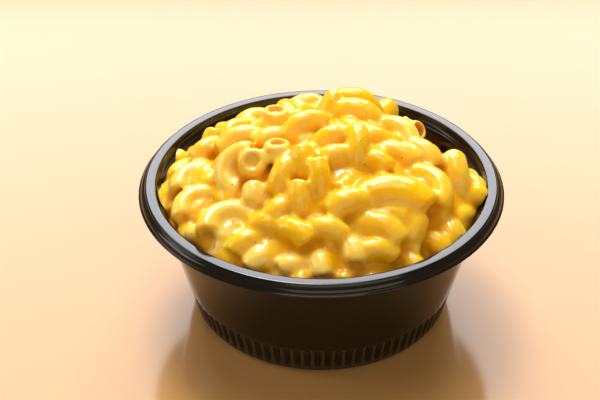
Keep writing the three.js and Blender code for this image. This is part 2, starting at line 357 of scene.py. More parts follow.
def draw_in(depth):
    """Moves the selected faces towards the bowl's axis by a depth in millimetres."""
    share = 1 - depth / FLUTE_FOOT[0]
    bpy.ops.transform.resize(value=(share, share, 1), center_override=(0, 0, 0))


select_only(bowl)
bpy.ops.object.mode_set(mode="EDIT")
select_parts(bowl, "FACE", lambda face: flute_column(face) in POCKET_COLUMNS)
bpy.ops.mesh.inset(thickness=FLUTE_SLOPE * MM, depth=0)
draw_in(FLUTE_DEPTH)
bpy.ops.object.mode_set(mode="OBJECT")
pocket = [face for face in bowl.data.polygons if face.select]
scoops = {face.index for face in pocket if in_scoop(face)}
feet = {corner for face in pocket for corner in face.vertices if at_foot(corner)}
bpy.ops.object.mode_set(mode="EDIT")
select_parts(bowl, "FACE", lambda face: face.index in scoops)
draw_in(SCOOP_DEPTH)
select_parts(bowl, "VERT", lambda vertex: vertex.index in feet)
draw_in(-FADED_DEPTH)
print("faces in the scoops:", len(scoops), "points let out:", len(feet))

# %% [markdown]
# Subdivision is slow on a face with hundreds of corners, and the two flat discs, under the bowl and on
# its floor, gain nothing from it. So they are taken out before it and put back after it.

# %% Round the bowl's corners
SMOOTH_BELOW = math.radians(50)  # sharper edges stay edges

select_parts(bowl, "FACE", lambda face: len(face.vertices) > 4)
bpy.ops.mesh.delete(type="FACE")
bpy.ops.object.mode_set(mode="OBJECT")
apply_modifier(bowl, "SUBSURF", levels=1, render_levels=1)
bpy.ops.object.mode_set(mode="EDIT")
bpy.ops.mesh.select_all(action="SELECT")
bpy.ops.mesh.fill_holes(sides=0)
finish_piece(bowl)
bpy.ops.object.shade_smooth_by_angle(angle=SMOOTH_BELOW)
print("bowl:", triangles(bowl), "triangles")

# %% [markdown]
# ## The macaroni
#
# An elbow is a short bent tube. Cooked, it is about 9 mm thick, its cut ends have swollen round, and
# sauce has run into the bore, so that only a dimple is left of it, or now and then an open hole. We spin
# a disc round the centre of the bend, round both ends with two smaller rings, and push their middles in.
# Sauce also clots inside a strong bend: a flattened ball stands for it. Elbows that bend alike share one
# mould, and each lies in the heap as a copy with a mesh of its own.

# %% Sizes of an elbow
TUBE_RADIUS = 4.6
TUBE_SIDES = 20
STEP_LENGTH = 1.5
FEWEST_STEPS = 4
END_RINGS = [(0.7, 0.9), (0.5, 0.72)]  # how far each ring stands out, and its share of the tube's radius
DIMPLE = {"share": 0.8, "depth": 0.9}
BORE = {"share": 0.9, "depth": 6.0}
CLOT = {"from_sweep": 100, "wide": 0.85, "high": 0.7, "below": 0.75}  # shares of the bend's radius
print(f"a tube is {2 * TUBE_RADIUS} mm thick and has {TUBE_SIDES} sides")

# %% [markdown]
# A mould takes three steps: spin the tube, round and hollow its ends, and add the clot. The two ends are
# the only faces with more than four corners, which is how they are found.

# %% Steps of a mould


def bent_tube(name, bend, half):
    """A closed tube along X with its middle at the origin, and its ends drooping to -Z."""
    start = Vector((-bend * math.sin(half), 0, bend * (math.cos(half) - 1))) * MM
    bpy.ops.mesh.primitive_circle_add(
        vertices=TUBE_SIDES,
        radius=TUBE_RADIUS * MM,
        fill_type="NGON",
        location=start,
        rotation=(0, math.pi / 2 - half, 0),
    )
    tube = start_piece(name)
    steps = max(FEWEST_STEPS, round(2 * half * bend / STEP_LENGTH))
    bpy.ops.mesh.spin(steps=steps, angle=-2 * half, center=(0, 0, -bend * MM), axis=(0, 1, 0))
    return finish_piece(tube)


def round_end(tube, bend, half, side, hollow):
    """In edit mode, rounds the end on this side (-1 or 1) and pushes its middle in."""
    outwards = Vector((side * math.cos(half), 0, -math.sin(half))) * MM
    middle = Vector((side * bend * math.sin(half), 0, bend * (math.cos(half) - 1))) * MM
    select_parts(tube, "FACE", lambda face: len(face.vertices) > 4 and face.center.x * side > 0)
    ring = 1.0
    for rise, share in END_RINGS:
        bpy.ops.mesh.extrude_region_move(TRANSFORM_OT_translate={"value": outwards * rise})
        middle += outwards * rise
        bpy.ops.transform.resize(value=[share / ring] * 3, center_override=middle)
        ring = share
    bpy.ops.mesh.extrude_region_move()
    bpy.ops.transform.resize(value=[hollow["share"]] * 3, center_override=middle)
    bpy.ops.mesh.extrude_region_move(TRANSFORM_OT_translate={"value": -outwards * hollow["depth"]})


def add_clot(tube, bend, clot):
    """Adds a flattened ball of sauce inside the bend; clot is half its thickness."""
    bpy.ops.object.mode_set(mode="EDIT")
    bpy.ops.mesh.select_all(action="DESELECT")
    middle = Vector((0, 0, -bend * CLOT["below"])) * MM
    bpy.ops.mesh.primitive_uv_sphere_add(segments=20, ring_count=12, radius=bend * MM, location=middle)
    flat = (CLOT["wide"], clot / bend, CLOT["high"])
    bpy.ops.transform.resize(value=flat, center_override=middle)
    finish_piece(tube)


# %% [markdown]
# A mould is made when the first elbow asks for it. An elbow's sweep is rounded to ten degrees and its bend
# to a millimetre, so that many elbows find one that is there already.

# %% Moulds and their copies
moulds = {}


def elbow_mould(sweep, bend, hollow, clot):
    """An elbow with rounded, hollowed ends, and a clot of sauce inside it where it bends strongly."""
    half = math.radians(sweep) / 2 - sum(rise for rise, share in END_RINGS) / bend
    mould = bent_tube(f"mould_{sweep:.0f}_{bend:.0f}", bend, half)
    bpy.ops.object.mode_set(mode="EDIT")
    for side in (-1, 1):
        round_end(mould, bend, half, side, hollow)
    finish_piece(mould)
    if sweep >= CLOT["from_sweep"] and clot:
        add_clot(mould, bend, clot)
    return mould


def elbow_copy(row, hollow, clot):
    """A copy of the mould that fits a row, in its place in the heap."""
    sweep, bend = round(row[6], -1), round(row[7])
    key = (sweep, bend, hollow["depth"], clot)
    if key not in moulds:
        moulds[key] = elbow_mould(sweep, bend, hollow, clot)
    copy = bpy.data.objects.new("elbow", moulds[key].data.copy())
    bpy.context.scene.collection.objects.link(copy)
    copy.data.transform(placing(row))
    return copy


print("hollows of the ends:", DIMPLE["depth"], "and", BORE["depth"], "mm deep")

# %% [markdown]
# Under the elbows the heap is a low mound, which has slumped away from the wall in a few places. A
# formula is enough for it: a round hump, less a soft dent for each slump. Within the bare reach of a dent
# nothing is piled on top by rule.

# %% Shape of the mound
MOUND = {"x": 2, "y": 4, "edge": 50, "rise": 27, "span": 64}
DENTS = [
    {"x": 52, "y": 36, "depth": 18, "spread": 17, "bare": 30},
    {"x": 0, "y": 68, "depth": 9, "spread": 20, "bare": 8},
    {"x": -48, "y": 44, "depth": 7, "spread": 13, "bare": 13},
    {"x": -26, "y": 50, "depth": 2, "spread": 12, "bare": 15},
]


def mound_height(x, y):
    """Height of the bare mound under the elbows, for one place or for arrays of places."""
    reach = np.hypot(x - MOUND["x"], y - MOUND["y"]) / MOUND["span"]
    height = MOUND["edge"] + MOUND["rise"] * np.maximum(0, 1 - reach**2)
    for dent in DENTS:
        away = np.hypot(x - dent["x"], y - dent["y"]) / dent["spread"]
        height = height - dent["depth"] * np.exp(-(away**2) / 2)
    return height


def in_slump(x, y):
    """True within the bare reach of a dent."""
    return any(math.hypot(dent["x"] - x, dent["y"] - y) < dent["bare"] for dent in DENTS)


print(f"the mound is {mound_height(MOUND['x'], MOUND['y']):.1f} mm high under the crown")

# %% [markdown]
# The elbows on top are laid one by one, as a cook would turn the best ones up, and a few lie low in the
# slumps. Each row of the list holds the place of an elbow's middle, how far it stands above the mound,
# the heading and pitch of the line between its ends, its roll, its sweep, and the radius of its bend. A
# ninth number, where there is one, makes the elbow larger all round: a few have swollen, or wear a thick
# coat of sauce. Later cells call an elbow by the number of its row, counted from 0.

# %% Elbows laid one by one
LAID = [
    # the crown
    [13, 34, 7, -5, 0, -20, 140, 8, 1.15],
    [14, 20, 4, -12, 0, -30, 120, 8, 1.2],
    [4, 22, 3, 70, 45, -30, 90, 8],
    [26, 37, 5, 60, 20, 0, 90, 7, 1.2],
    [37.5, 38, 8.5, -35, 0, 180, 90, 8],
    [-5, 38, 4, 5, 0, -20, 110, 8],
    [-18, 16, 2, 90, 65, 180, 60, 8, 1.2],
    [-27, 34, 3, 15, 0, -20, 100, 8],
    [-45, 28, 3, 60, 50, 0, 80, 6],
    # the upper slope
    [-30, 6, 4, 5, 0, -30, 150, 8],
    [-7, 4, 5, 25, 10, -30, 110, 10],
    [-17, -13, 5, 90, 60, 180, 60, 8, 1.15],
    [-37, -12, 5, 70, 40, -95, 190, 8],
    [-26.5, -16, 5.5, 268, 66, 0, 60, 7, 1.25],
    [6, -4, 4, 10, 0, -20, 120, 8],
    [4, -16, 4, 15, 10, 0, 90, 7],
    [14, -13, 6, 84, 40, 20, 120, 9],
    [31, 12, 6, -35, 0, -50, 150, 9],
    [29, -4, 1, -20, 0, -40, 120, 8],
    [39, 0, 4, -40, 0, -20, 120, 8, 1.1],
    [20, -16, 4, -20, 0, -40, 110, 7],
    # the left side
    [-59, 24, 2, 90, 20, -60, 90, 5],
    [-46, 10, 4, 40, 10, 0, 90, 8],
    [-57, 8, 2, 60, 0, -90, 110, 6],
    [-53, -2, 4, 40, 10, -80, 140, 8],
    [-62, -9, 3, 70, 30, -80, 100, 8],
    [-52, -17, 4, 45, 15, -80, 140, 8],
    [-35.5, -31.5, 4, 12, 0, -75, 170, 10],
    [-37, -42, 3.5, 90, 25, 0, 80, 7],
    # the middle of the front slope
    [-26, -28, 4, 90, 30, 10, 70, 6],
    [-15, -23, 5, 60, 30, -10, 100, 9],
    [-9, -34, 5, 90, 45, -30, 70, 9],
    [-7, -20, 6, 100, 45, 20, 70, 9],
    [-1, -28, 5, 95, 50, 30, 80, 11],
    [-17, -36, 3, 40, 20, 0, 80, 6],
    [9, -36, 4.5, 20, 5, 0, 100, 7, 1.15],
    # the right side
    [26, -29, 2.5, -3, 0, -40, 110, 8, 1.9],
    [44.5, -18, 5.5, -60, -10, -60, 130, 11],
    [53, -7, 5, -78, -38, 20, 100, 9, 1.15],
    [60, -3, 3, -50, 0, -40, 90, 7],
    [58, -12, 2, 10, 10, 0, 90, 8],
    [21, -42, 3.5, -25, -5, -20, 110, 9, 1.15],
    [34, -42, 5, 60, 50, 20, 90, 8],
    [49, -35, 2, 90, 30, 0, 80, 6],
    [43, -42, 3, 130, 20, 0, 80, 6],
    # along the front rim
    [-27, -44, 3, 20, 0, -20, 120, 8],
    [-24, -51, 3, 40, 15, 0, 80, 7],
    [-11, -54, 1, 10, 0, 0, 80, 7],
    [-21, -40, 3, -10, 0, 0, 90, 7],
    [-10, -45, 4, -40, 0, -10, 100, 8],
    [1, -45, 4, -10, 0, -10, 110, 8],
    [-1, -55, 2, 100, 15, 0, 80, 7],
    [11, -51, 3, 110, 15, 30, 90, 7],
    [19, -50, 3, 5, 0, -20, 100, 10],
    # sunk in the sauce
    [27, -36, 1.5, 0, 0, -40, 100, 7, 1.5],
    [-45, -37, 4.5, -45, 0, -20, 110, 7],
    [-37.5, -46.5, 2.5, -35, 0, 0, 110, 8],
    # low in the slumps
    [56, 19, 0.5, 60, 0, 0, 110, 8],
    [47, 27, 0, -30, 0, 0, 110, 8],
    [57, 33, 0, 115, 0, 0, 100, 8],
    [48, 42, 0, -15, 0, 0, 110, 8],
    [61, 6, 0.5, 100, 0, 0, 90, 8],
    [42, 53, 0, 130, 0, 0, 100, 8],
    [-49, 38, 0, 70, 0, 0, 110, 8],
    [-41, 47, 0, 10, 0, 0, 110, 8],
    [44, 12, 2, 100, -20, 0, 100, 8],
    [50, 17, 1.5, 60, -25, 0, 90, 8],
    [42, 22, 2, 140, -10, 0, 100, 8],
    [-37, 41, 2, 150, 10, 0, 100, 8],
    [-29, 45, 1.5, 60, 0, 0, 100, 8],
]


def girth(row):
    """How much larger than its mould an elbow is."""
    return row[8] if len(row) > 8 else 1.0


def placing(row):
    """The matrix that lays an elbow of the heap in its place."""
    x, y, lift, heading, pitch, roll = row[:6]
    turn = Matrix.Rotation(math.radians(heading), 4, "Z")
    tip = Matrix.Rotation(-math.radians(pitch), 4, "Y")
    twist = Matrix.Rotation(math.radians(roll), 4, "X")
    place = Vector((x, y, float(mound_height(x, y)) + lift)) * MM
    return Matrix.Translation(place) @ turn @ tip @ twist @ Matrix.Scale(girth(row), 4)


print("laid by hand:", len(LAID))

# %% [markdown]
# The rest is laid by rule. A few more elbows go on top wherever the listed ones have left a gap, on rings
# round the middle of the bowl. Under them comes a closer layer that is half sunk in the sauce, and a little
# deeper in the slumps. Only its backs show, and it is what makes the heap look like pasta all the way
# down.

# %% Elbows laid by rule
# the ranges are for lift, heading, pitch, roll, sweep and bend
FILL_SEED = 41
FILL_RINGS = [8, 20, 32, 44, 55]
FILL_PITCH = 13
FILL_CLEAR = 9.5
FILL_REACH = 57.5
FILL_RANGES = [(0.5, 3), (0, 360), (-10, 20), (-60, 60), (80, 140), (7, 9)]

UNDER_SEED = 17
UNDER_RINGS = [6, 15, 24, 33, 42, 50, 58]
UNDER_PITCH = 10
UNDER_CLEAR = 4.0
UNDER_RANGES = [(-2.6, 0.0), (0, 360), (-15, 15), (-70, 70), (80, 130), (7, 9)]
SLUMP_SINKS = 1.2

STRAY = {"steps": 0.3, "radius": 2}  # how far an elbow may lie out of line, along its ring and across it


def rows_on_rings(seed, rings, pitch, ranges):
    """Rows like those of LAID, on rings round the middle of the bowl, each a little out of line."""
    draw = seeded_draws(seed)
    rows = []
    for ring in rings:
        count = int(2 * math.pi * ring / pitch + 0.5)
        for i in range(count):
            angle = 2 * math.pi * (i + draw(-STRAY["steps"], STRAY["steps"])) / count
            radius = ring + draw(-STRAY["radius"], STRAY["radius"])
            place = [radius * math.cos(angle), radius * math.sin(angle)]
            rows.append(place + [draw(low, high) for low, high in ranges])
    return rows


def near(x, y, others, clear):
    """True where the middle of one of the other elbows is closer than this."""
    return any(math.hypot(other[0] - x, other[1] - y) < clear for other in others)


filled = []
for row in rows_on_rings(FILL_SEED, FILL_RINGS, FILL_PITCH, FILL_RANGES):
    x, y = row[:2]
    if not near(x, y, LAID + filled, FILL_CLEAR) and not in_slump(x, y) and math.hypot(x, y) < FILL_REACH:
        filled.append(row)

under = []
for row in rows_on_rings(UNDER_SEED, UNDER_RINGS, UNDER_PITCH, UNDER_RANGES):
    x, y = row[:2]
    if in_slump(x, y):
        row[2] -= SLUMP_SINKS
    if not near(x, y, LAID + filled, UNDER_CLEAR):
        under.append(row)

all_rows = LAID + filled + under
print("on top by rule:", len(filled), "half sunk:", len(under))

# %% [markdown]
# Under the elbows lies the sauce, at the mound's height and a little more, in pools where there is more
# of it. Its core is a disc extruded into a drum with rings of points on top, and the top is then pulled
# down to the height of the sauce.

# %% Core of sauce
CORE_RISE = 0.4
CORE_TURNS = 96
CORE_SIDE = [(30, 30), (62, 30), (66, 44)]
CORE_RINGS = [62, 58, 54, 50, 46, 42, 38, 34, 30, 26, 22, 18, 14, 10, 6, 3]
ABOVE_ALL = 2 * HEIGHT  # a height that is clear of everything
POOLS = [
    {"x": 44, "y": -30, "rise": 3.0, "spread": 10},
    {"x": 20, "y": -50, "rise": 3.0, "spread": 9},
    {"x": -12, "y": -28, "rise": 2.5, "spread": 9},
    {"x": 12, "y": -24, "rise": 3.0, "spread": 8},
    {"x": 52, "y": -10, "rise": 2.5, "spread": 8},
    {"x": -42, "y": -42, "rise": 3.5, "spread": 12},
    {"x": -8, "y": -48, "rise": 2.5, "spread": 14},
]


def core_height(x, y):
    """Height of the sauce between the elbows."""
    height = float(mound_height(x, y)) + CORE_RISE
    for pool in POOLS:
        away = math.hypot(x - pool["x"], y - pool["y"]) / pool["spread"]
        height += pool["rise"] * math.exp(-(away**2) / 2)
    return height


heap = spun_piece("macaroni", CORE_SIDE + [(ring, ABOVE_ALL) for ring in CORE_RINGS], CORE_TURNS)
for vertex in heap.data.vertices:
    if vertex.co.z > HEIGHT * MM:
        vertex.co.z = core_height(vertex.co.x / MM, vertex.co.y / MM) * MM
print("core:", triangles(heap), "triangles")

# %% [markdown]
# In the bowl the sauce joins everything. A voxel remesh does the same: it makes one skin of the core and
# all the elbows, as if they had been dipped together. A few elbows keep an open bore, and some bends
# hold more sauce than others, or less.

# %% Join the elbows and the core
VOXEL = 0.5
OPEN_ENDS = {4, 6, 8, 11, 21}
CLOT_HALF = 3.0
CLOT_HALVES = {36: 4.6, 41: 4.2, 10: 4.2, 14: 4.2, 12: 2.0, 26: 2.0, 27: 2.0}


def remesh_heap():
    """Makes one even skin of all that the heap holds."""
    apply_modifier(heap, "REMESH", mode="VOXEL", voxel_size=VOXEL * MM, adaptivity=0)


copies = []
for number, row in enumerate(all_rows):
    clot = CLOT_HALVES.get(number, CLOT_HALF) if number < len(LAID) else 0
    copies.append(elbow_copy(row, BORE if number in OPEN_ENDS else DIMPLE, clot))
select_only(heap, *copies)
bpy.ops.object.join()
for mould in moulds.values():
    bpy.data.objects.remove(mould)
remesh_heap()
print("after the remesh:", triangles(heap), "triangles")

# %% [markdown]
# Where two elbows meet, sauce fills the crease. So the skin is swollen by almost a millimetre, made one
# again, and shrunk back by the same amount. The round tops come back as they were, but narrow creases
# closed while the heap was swollen, and they stay filled. Some smoothing then leaves the melted look of a
# thick sauce, and a fine cloud of relief breaks the highlights, as small lumps of cheese do.

# %% Fill the creases
SWELL = 0.9
FIRST_SMOOTHING = 2
LAST_SMOOTHING = 3
LUMP_SIZE = 4.0
LUMP_RELIEF = 0.25

for swelling in (SWELL, -SWELL):
    apply_modifier(heap, "SMOOTH", factor=0.5, iterations=FIRST_SMOOTHING)
    apply_modifier(heap, "DISPLACE", strength=swelling * MM, mid_level=0)
    remesh_heap()
apply_modifier(heap, "SMOOTH", factor=0.5, iterations=LAST_SMOOTHING)
lumps = bpy.data.textures.new("lumps", "CLOUDS")
lumps.noise_scale = LUMP_SIZE * MM
lumps.noise_depth = 1
apply_modifier(heap, "DISPLACE", texture=lumps, strength=LUMP_RELIEF * MM, mid_level=0.5)
print("after filling:", triangles(heap), "triangles")

# %% [markdown]
# The heap must stay inside the bowl. We spin the free room of the bowl as a solid of its own, a hair
# smaller than the real room, and keep only what lies in both. Then the mesh is thinned: it is far finer
# than its soft shapes need.

# %% Trim the heap to the bowl
GAP = 0.3
ROOM_TURNS = 180
ROOM_DISC_RADIUS = 10
ROOM_WALL_ROWS = (24, 34, 44, 53.8)
TRIANGLE_LIMIT = 190_000
SMOOTH_HEAP_BELOW = math.radians(60)

room_profile = [
    (ROOM_DISC_RADIUS, FLOOR_TOP + GAP),
    (BASE_RADIUS - WALL - GAP, FLOOR_TOP + GAP),
    (FLUTE_FOOT[0] - WALL - POCKET_DEPTH - GAP, FLUTE_FOOT[1] + WALL + GAP),
    (FLUTE_TOP[0] - WALL - POCKET_DEPTH - GAP, FLUTE_TOP[1]),
    *[(wall_radius(z) - WALL - GAP, z) for z in ROOM_WALL_ROWS],
    (BAND_INNER_RADIUS - WALL - GAP - 0.2, HEIGHT - LEDGE_DROP + GAP),
    (BAND_INNER_RADIUS - GAP, HEIGHT + GAP),
    (BAND_OUTER_RADIUS, HEIGHT + GAP),
    (BAND_OUTER_RADIUS, ABOVE_ALL),
    (ROOM_DISC_RADIUS, ABOVE_ALL),
]
room = spun_piece("room", room_profile, ROOM_TURNS)
apply_modifier(heap, "BOOLEAN", operation="INTERSECT", solver="MANIFOLD", object=room)
bpy.data.objects.remove(room)
before = triangles(heap)
apply_modifier(heap, "DECIMATE", ratio=min(1, TRIANGLE_LIMIT / before))
select_only(heap)
bpy.ops.object.shade_smooth_by_angle(angle=SMOOTH_HEAP_BELOW)
print("heap:", before, "triangles, thinned to", triangles(heap))

# %% [markdown]
# The joined skin has forgotten which elbow each point came from, and the materials need to know. So the
# centre lines of all the elbows are kept as points, in a tree that finds the nearest one fast.

# %% Centre lines of the elbows
LINE_POINTS = 24

line_points = []
for number, row in enumerate(all_rows):
    half, bend = math.radians(row[6]) / 2, row[7]
    for angle in np.linspace(-half, half, LINE_POINTS):
        point = Vector((bend * math.sin(angle), 0, bend * (math.cos(angle) - 1))) * MM
        line_points.append((placing(row) @ point, number))
centre_lines = KDTree(len(line_points))
for index, (point, number) in enumerate(line_points):
    centre_lines.insert(point, index)
centre_lines.balance()
print("points on centre lines:", len(line_points))

# %% [markdown]
# No two elbows have quite the same colour. Most are golden, with a small random difference between them,
# and those that took less sauce are pale by a share of their own.

# %% Tones of the elbows
TONE_SEED = 5
TONES = (0.0, 0.2)
PALE_ELBOWS = {
    4: 1.0, 5: 0.4, 6: 0.6, 7: 0.4, 9: 0.5, 11: 0.7, 12: 0.65, 13: 0.5, 17: 0.4, 19: 0.3, 22: 0.4,
    24: 0.5, 26: 0.5, 27: 0.5, 28: 0.5, 29: 0.7, 46: 0.8, 47: 0.8, 51: 1.0, 52: 0.7, 55: 0.7,
}

draw = seeded_draws(TONE_SEED)
tones = np.array([draw(*TONES) for row in all_rows])
for number, tone in PALE_ELBOWS.items():
    tones[number] = tone
print("pale elbows:", len(PALE_ELBOWS), "of", len(all_rows))

# %% [markdown]
# Light hardly reaches a crevice, and sauce gathers there, so the food's colour is darkened in crevices:
# painted shade, which also stands for the thicker sauce. A smoothed map of the heap's height tells how
# deep below its surroundings a point lies.

# %% Depth of the crevices
CELL = 1.0
MARGIN_CELLS = 3
BLUR_PASSES = 12


def ramp(value, low, high):
    """Runs from 0 at low to 1 at high, and stays there on either side."""
    return np.clip((value - low) / (high - low), 0, 1)


def crevice_depths(places):
    """How far each place lies below the smoothed top of the heap, in millimetres."""
    side = int(2 * RIM_RADIUS / CELL) + MARGIN_CELLS
    cells = np.round((places[:, :2] + RIM_RADIUS) / CELL).astype(int)
    tops = np.full((side, side), HEIGHT - LEDGE_DROP)
    np.maximum.at(tops, (cells[:, 0], cells[:, 1]), places[:, 2])
    for turn in range(BLUR_PASSES):
        for axis in (0, 1):
            tops = (np.roll(tops, 1, axis) + 2 * tops + np.roll(tops, -1, axis)) / 4
    return tops[cells[:, 0], cells[:, 1]] - places[:, 2]


places = np.array([vertex.co for vertex in heap.data.vertices]) / MM
depths = crevice_depths(places)
print("points whose depth was measured:", len(depths))

# %% [markdown]
# The distance from the nearest centre line says what a point is: pasta at the tube's radius, sauce beyond
# it, and the inside of a bore well within it. Each mark is written on the mesh as an attribute that runs
# from 0 to 1, where the materials can read it.

# %% Mark pasta, sauce, bores and crevices
SAUCE_FROM = 0.35
SAUCE_FULL = 1.6
BORE_FULL = 2.6
BORE_FROM = 3.4
CREVICE_FROM = 0.5
CREVICE_FULL = 4.0

found = [centre_lines.find(vertex.co) for vertex in heap.data.vertices]
nearest = np.array([index for place, index, distance in found])
distances = np.array([distance for place, index, distance in found]) / MM
owners = np.array([number for point, number in line_points])[nearest]
radii = np.array([TUBE_RADIUS * girth(row) for row in all_rows])
from_end = np.minimum(nearest % LINE_POINTS, LINE_POINTS - 1 - nearest % LINE_POINTS)
marks = {
    "tone": tones[owners],
    "sauce": ramp(distances - radii[owners], SAUCE_FROM, SAUCE_FULL),
    "bore": ramp(distances, BORE_FROM, BORE_FULL) * (from_end > 1),
    "crevice": ramp(depths, CREVICE_FROM, CREVICE_FULL),
}
for name, values in marks.items():
    attribute = heap.data.attributes.new(name, "FLOAT", "POINT")
    attribute.data.foreach_set("value", values.astype(np.float32))
    print(name, "mean", round(float(np.mean(values)), 3))

# %% [markdown]
# ## Materials
#
# Neither cheese sauce nor moulded plastic is quite even: colour or gloss drifts from spot to spot, and the
# skin is faintly lumpy. One node group makes both, wide patches and fine lumps, from the place on the
# object. The food and the bowl use it with values of their own.

# %% A node group for patches and lumps
PATCH_DETAIL = 2.0
LUMP_DETAIL = 3.0


def make_group(name, inputs, outputs):
    """An empty shader group with float inputs, given as name and default, and named float outputs."""
    group = bpy.data.node_groups.new(name, "ShaderNodeTree")
    for label, default in inputs:
        socket = group.interface.new_socket(label, in_out="INPUT", socket_type="NodeSocketFloat")
        socket.default_value = default
    for label in outputs:
        group.interface.new_socket(label, in_out="OUTPUT", socket_type="NodeSocketFloat")
    return group, group.nodes.new("NodeGroupInput"), group.nodes.new("NodeGroupOutput")


uneven_skin, skin_in, skin_out = make_group(
    "uneven_skin",
    inputs=[("Patches per metre", 110.0), ("Lumps per metre", 700.0), ("Grit", 0.55)],
    outputs=["Patches", "Lumps"],
)
skin_place = uneven_skin.nodes.new("ShaderNodeTexCoord")
for output, detail in (("Patches", PATCH_DETAIL), ("Lumps", LUMP_DETAIL)):
    noise = uneven_skin.nodes.new("ShaderNodeTexNoise")
    noise.inputs["Detail"].default_value = detail
    uneven_skin.links.new(skin_place.outputs["Object"], noise.inputs["Vector"])
    uneven_skin.links.new(skin_in.outputs[f"{output} per metre"], noise.inputs["Scale"])
    uneven_skin.links.new(skin_in.outputs["Grit"], noise.inputs["Roughness"])
    uneven_skin.links.new(noise.outputs["Fac"], skin_out.inputs[output])
print("group sockets:", [item.name for item in uneven_skin.interface.items_tree])

# %% [markdown]
# Short helpers keep the materials readable: one starts a material with its Principled shader, one places
# the node group, one mixes two colours by a mask, and the others run a value or a mark of the mesh from
# one range to another and feed a height into a bump. A socket that nodes feed is given its usual value
# as well, for viewers that read no nodes.

# %% Helpers for materials
WHOLE = (0, 1)  # the range of a mark


def new_material(name, **settings):
    """A material with a Principled shader, whose sockets are set by name."""
    material = bpy.data.materials.new(name)
    material.use_nodes = True
    shader = material.node_tree.nodes["Principled BSDF"]
    for label, value in settings.items():
        shader.inputs[label.replace("_", " ")].default_value = value
    return material, material.node_tree, shader


def place_group(tree, group, **values):
    """Places a node group in a material, with values of its own, and gives its outputs."""
    node = tree.nodes.new("ShaderNodeGroup")
    node.node_tree = group
    for label, value in values.items():
        node.inputs[label.replace("_", " ")].default_value = value
    return node.outputs


def mix_colours(tree, mask, first, second):
    """A node that goes from the first colour to the second as the mask goes from 0 to 1."""
    node = tree.nodes.new("ShaderNodeMix")
    node.data_type = "RGBA"
    tree.links.new(mask, node.inputs["Factor"])
    for socket, colour in ((node.inputs["A"], first), (node.inputs["B"], second)):
        if isinstance(colour, tuple):
            socket.default_value = (*colour, 1)
        else:
            tree.links.new(colour, socket)
    return node.outputs["Result"]


def run_between(tree, value, source, target):
    """A node that carries a value from the source range to the target range."""
    node = tree.nodes.new("ShaderNodeMapRange")
    tree.links.new(value, node.inputs["Value"])
    for label, number in zip(("From Min", "From Max", "To Min", "To Max"), (*source, *target)):
        node.inputs[label].default_value = number
    return node.outputs["Result"]


def mark_between(tree, name, target):
    """A mark of the mesh, which runs from 0 to 1, carried to the target range."""
    node = tree.nodes.new("ShaderNodeAttribute")
    node.attribute_name = name
    return run_between(tree, node.outputs["Fac"], WHOLE, target)


def add_bump(tree, shader, height, strength, depth):
    """Feeds a height into the shader's normal; depth is in metres."""
    bump = tree.nodes.new("ShaderNodeBump")
    bump.inputs["Strength"].default_value = strength
    bump.inputs["Distance"].default_value = depth
    tree.links.new(height, bump.inputs["Height"])
    tree.links.new(bump.outputs["Normal"], shader.inputs["Normal"])


# %% [markdown]
# The pasta itself is pale and the sauce on it is a full golden yellow. In the creases and inside the open
# bores the colour is darkened to amber as painted shade, which in the creases also stands for thicker
# sauce. Light goes a few millimetres into all of them, red furthest, which is why the shadows glow. Over
# everything lies a wet coat, which is thinnest deep in the creases.

# %% Macaroni and sauce
PASTA_PALE = (0.96, 0.74, 0.20)
PASTA_GOLD = (0.93, 0.55, 0.002)
SAUCE_GOLD = (0.88, 0.455, 0.001)
# painted shade: amber for the crevices, where it also stands for thicker sauce, and for open bores
SAUCE_AND_SHADE_AMBER = (0.70, 0.285, 0.001)
SAUCED_PATCHES = {"patches": (0.4, 0.7), "share": (0, 0.6)}
CREVICE_SHADE = (0, 0.85)
BORE_SHADE = (0, 0.5)
FOOD_ROUGHNESS = {"patches": (0.3, 0.7), "roughness": (0.22, 0.38)}
COAT_WEIGHT = (0.78, 0.15)
FOOD_BUMP = {"strength": 0.2, "depth": 0.2 * MM}

food_material, food_tree, food = new_material(
    "macaroni_and_sauce",
    Roughness=0.3,
    IOR=1.1,
    Subsurface_Weight=0.5,
    Subsurface_Radius=(1.0, 0.72, 0.1),
    Subsurface_Scale=2.5 * MM,
    Coat_Weight=0.8,
    Coat_Roughness=0.09,
    Coat_IOR=1.55,
)
skin = place_group(food_tree, uneven_skin, Patches_per_metre=110, Lumps_per_metre=700, Grit=0.55)
patchy = run_between(food_tree, skin["Patches"], SAUCED_PATCHES["patches"], SAUCED_PATCHES["share"])
colour = mix_colours(food_tree, mark_between(food_tree, "tone", WHOLE), PASTA_GOLD, PASTA_PALE)
colour = mix_colours(food_tree, patchy, colour, SAUCE_GOLD)
colour = mix_colours(food_tree, mark_between(food_tree, "sauce", WHOLE), colour, SAUCE_GOLD)
# painted shade: crevices darkened towards amber, also standing for the thicker sauce there
colour = mix_colours(food_tree, mark_between(food_tree, "crevice", CREVICE_SHADE), colour, SAUCE_AND_SHADE_AMBER)
# painted shade: the inside of an open bore darkened towards amber
colour = mix_colours(food_tree, mark_between(food_tree, "bore", BORE_SHADE), colour, SAUCE_AND_SHADE_AMBER)
gloss = run_between(food_tree, skin["Patches"], FOOD_ROUGHNESS["patches"], FOOD_ROUGHNESS["roughness"])
food_tree.links.new(colour, food.inputs["Base Color"])
food_tree.links.new(gloss, food.inputs["Roughness"])
food_tree.links.new(mark_between(food_tree, "crevice", COAT_WEIGHT), food.inputs["Coat Weight"])
add_bump(food_tree, food, skin["Lumps"], **FOOD_BUMP)
heap.data.materials.clear()
heap.data.materials.append(food_material)
print("nodes in the food's material:", len(food_tree.nodes))

# %% [markdown]
# Small flecks of browned cheese and pepper lie on the sauce. A fleck is a little ball, flattened and made
# uneven. Three different ones are enough, as none is larger than a coarse grain of sand.

# %% Moulds for the flecks
FLECK_SHAPES = [(1.0, 0.7, 0.35), (0.8, 0.45, 0.3), (1.2, 0.4, 0.3)]
FLECK_UNEVEN = 0.12


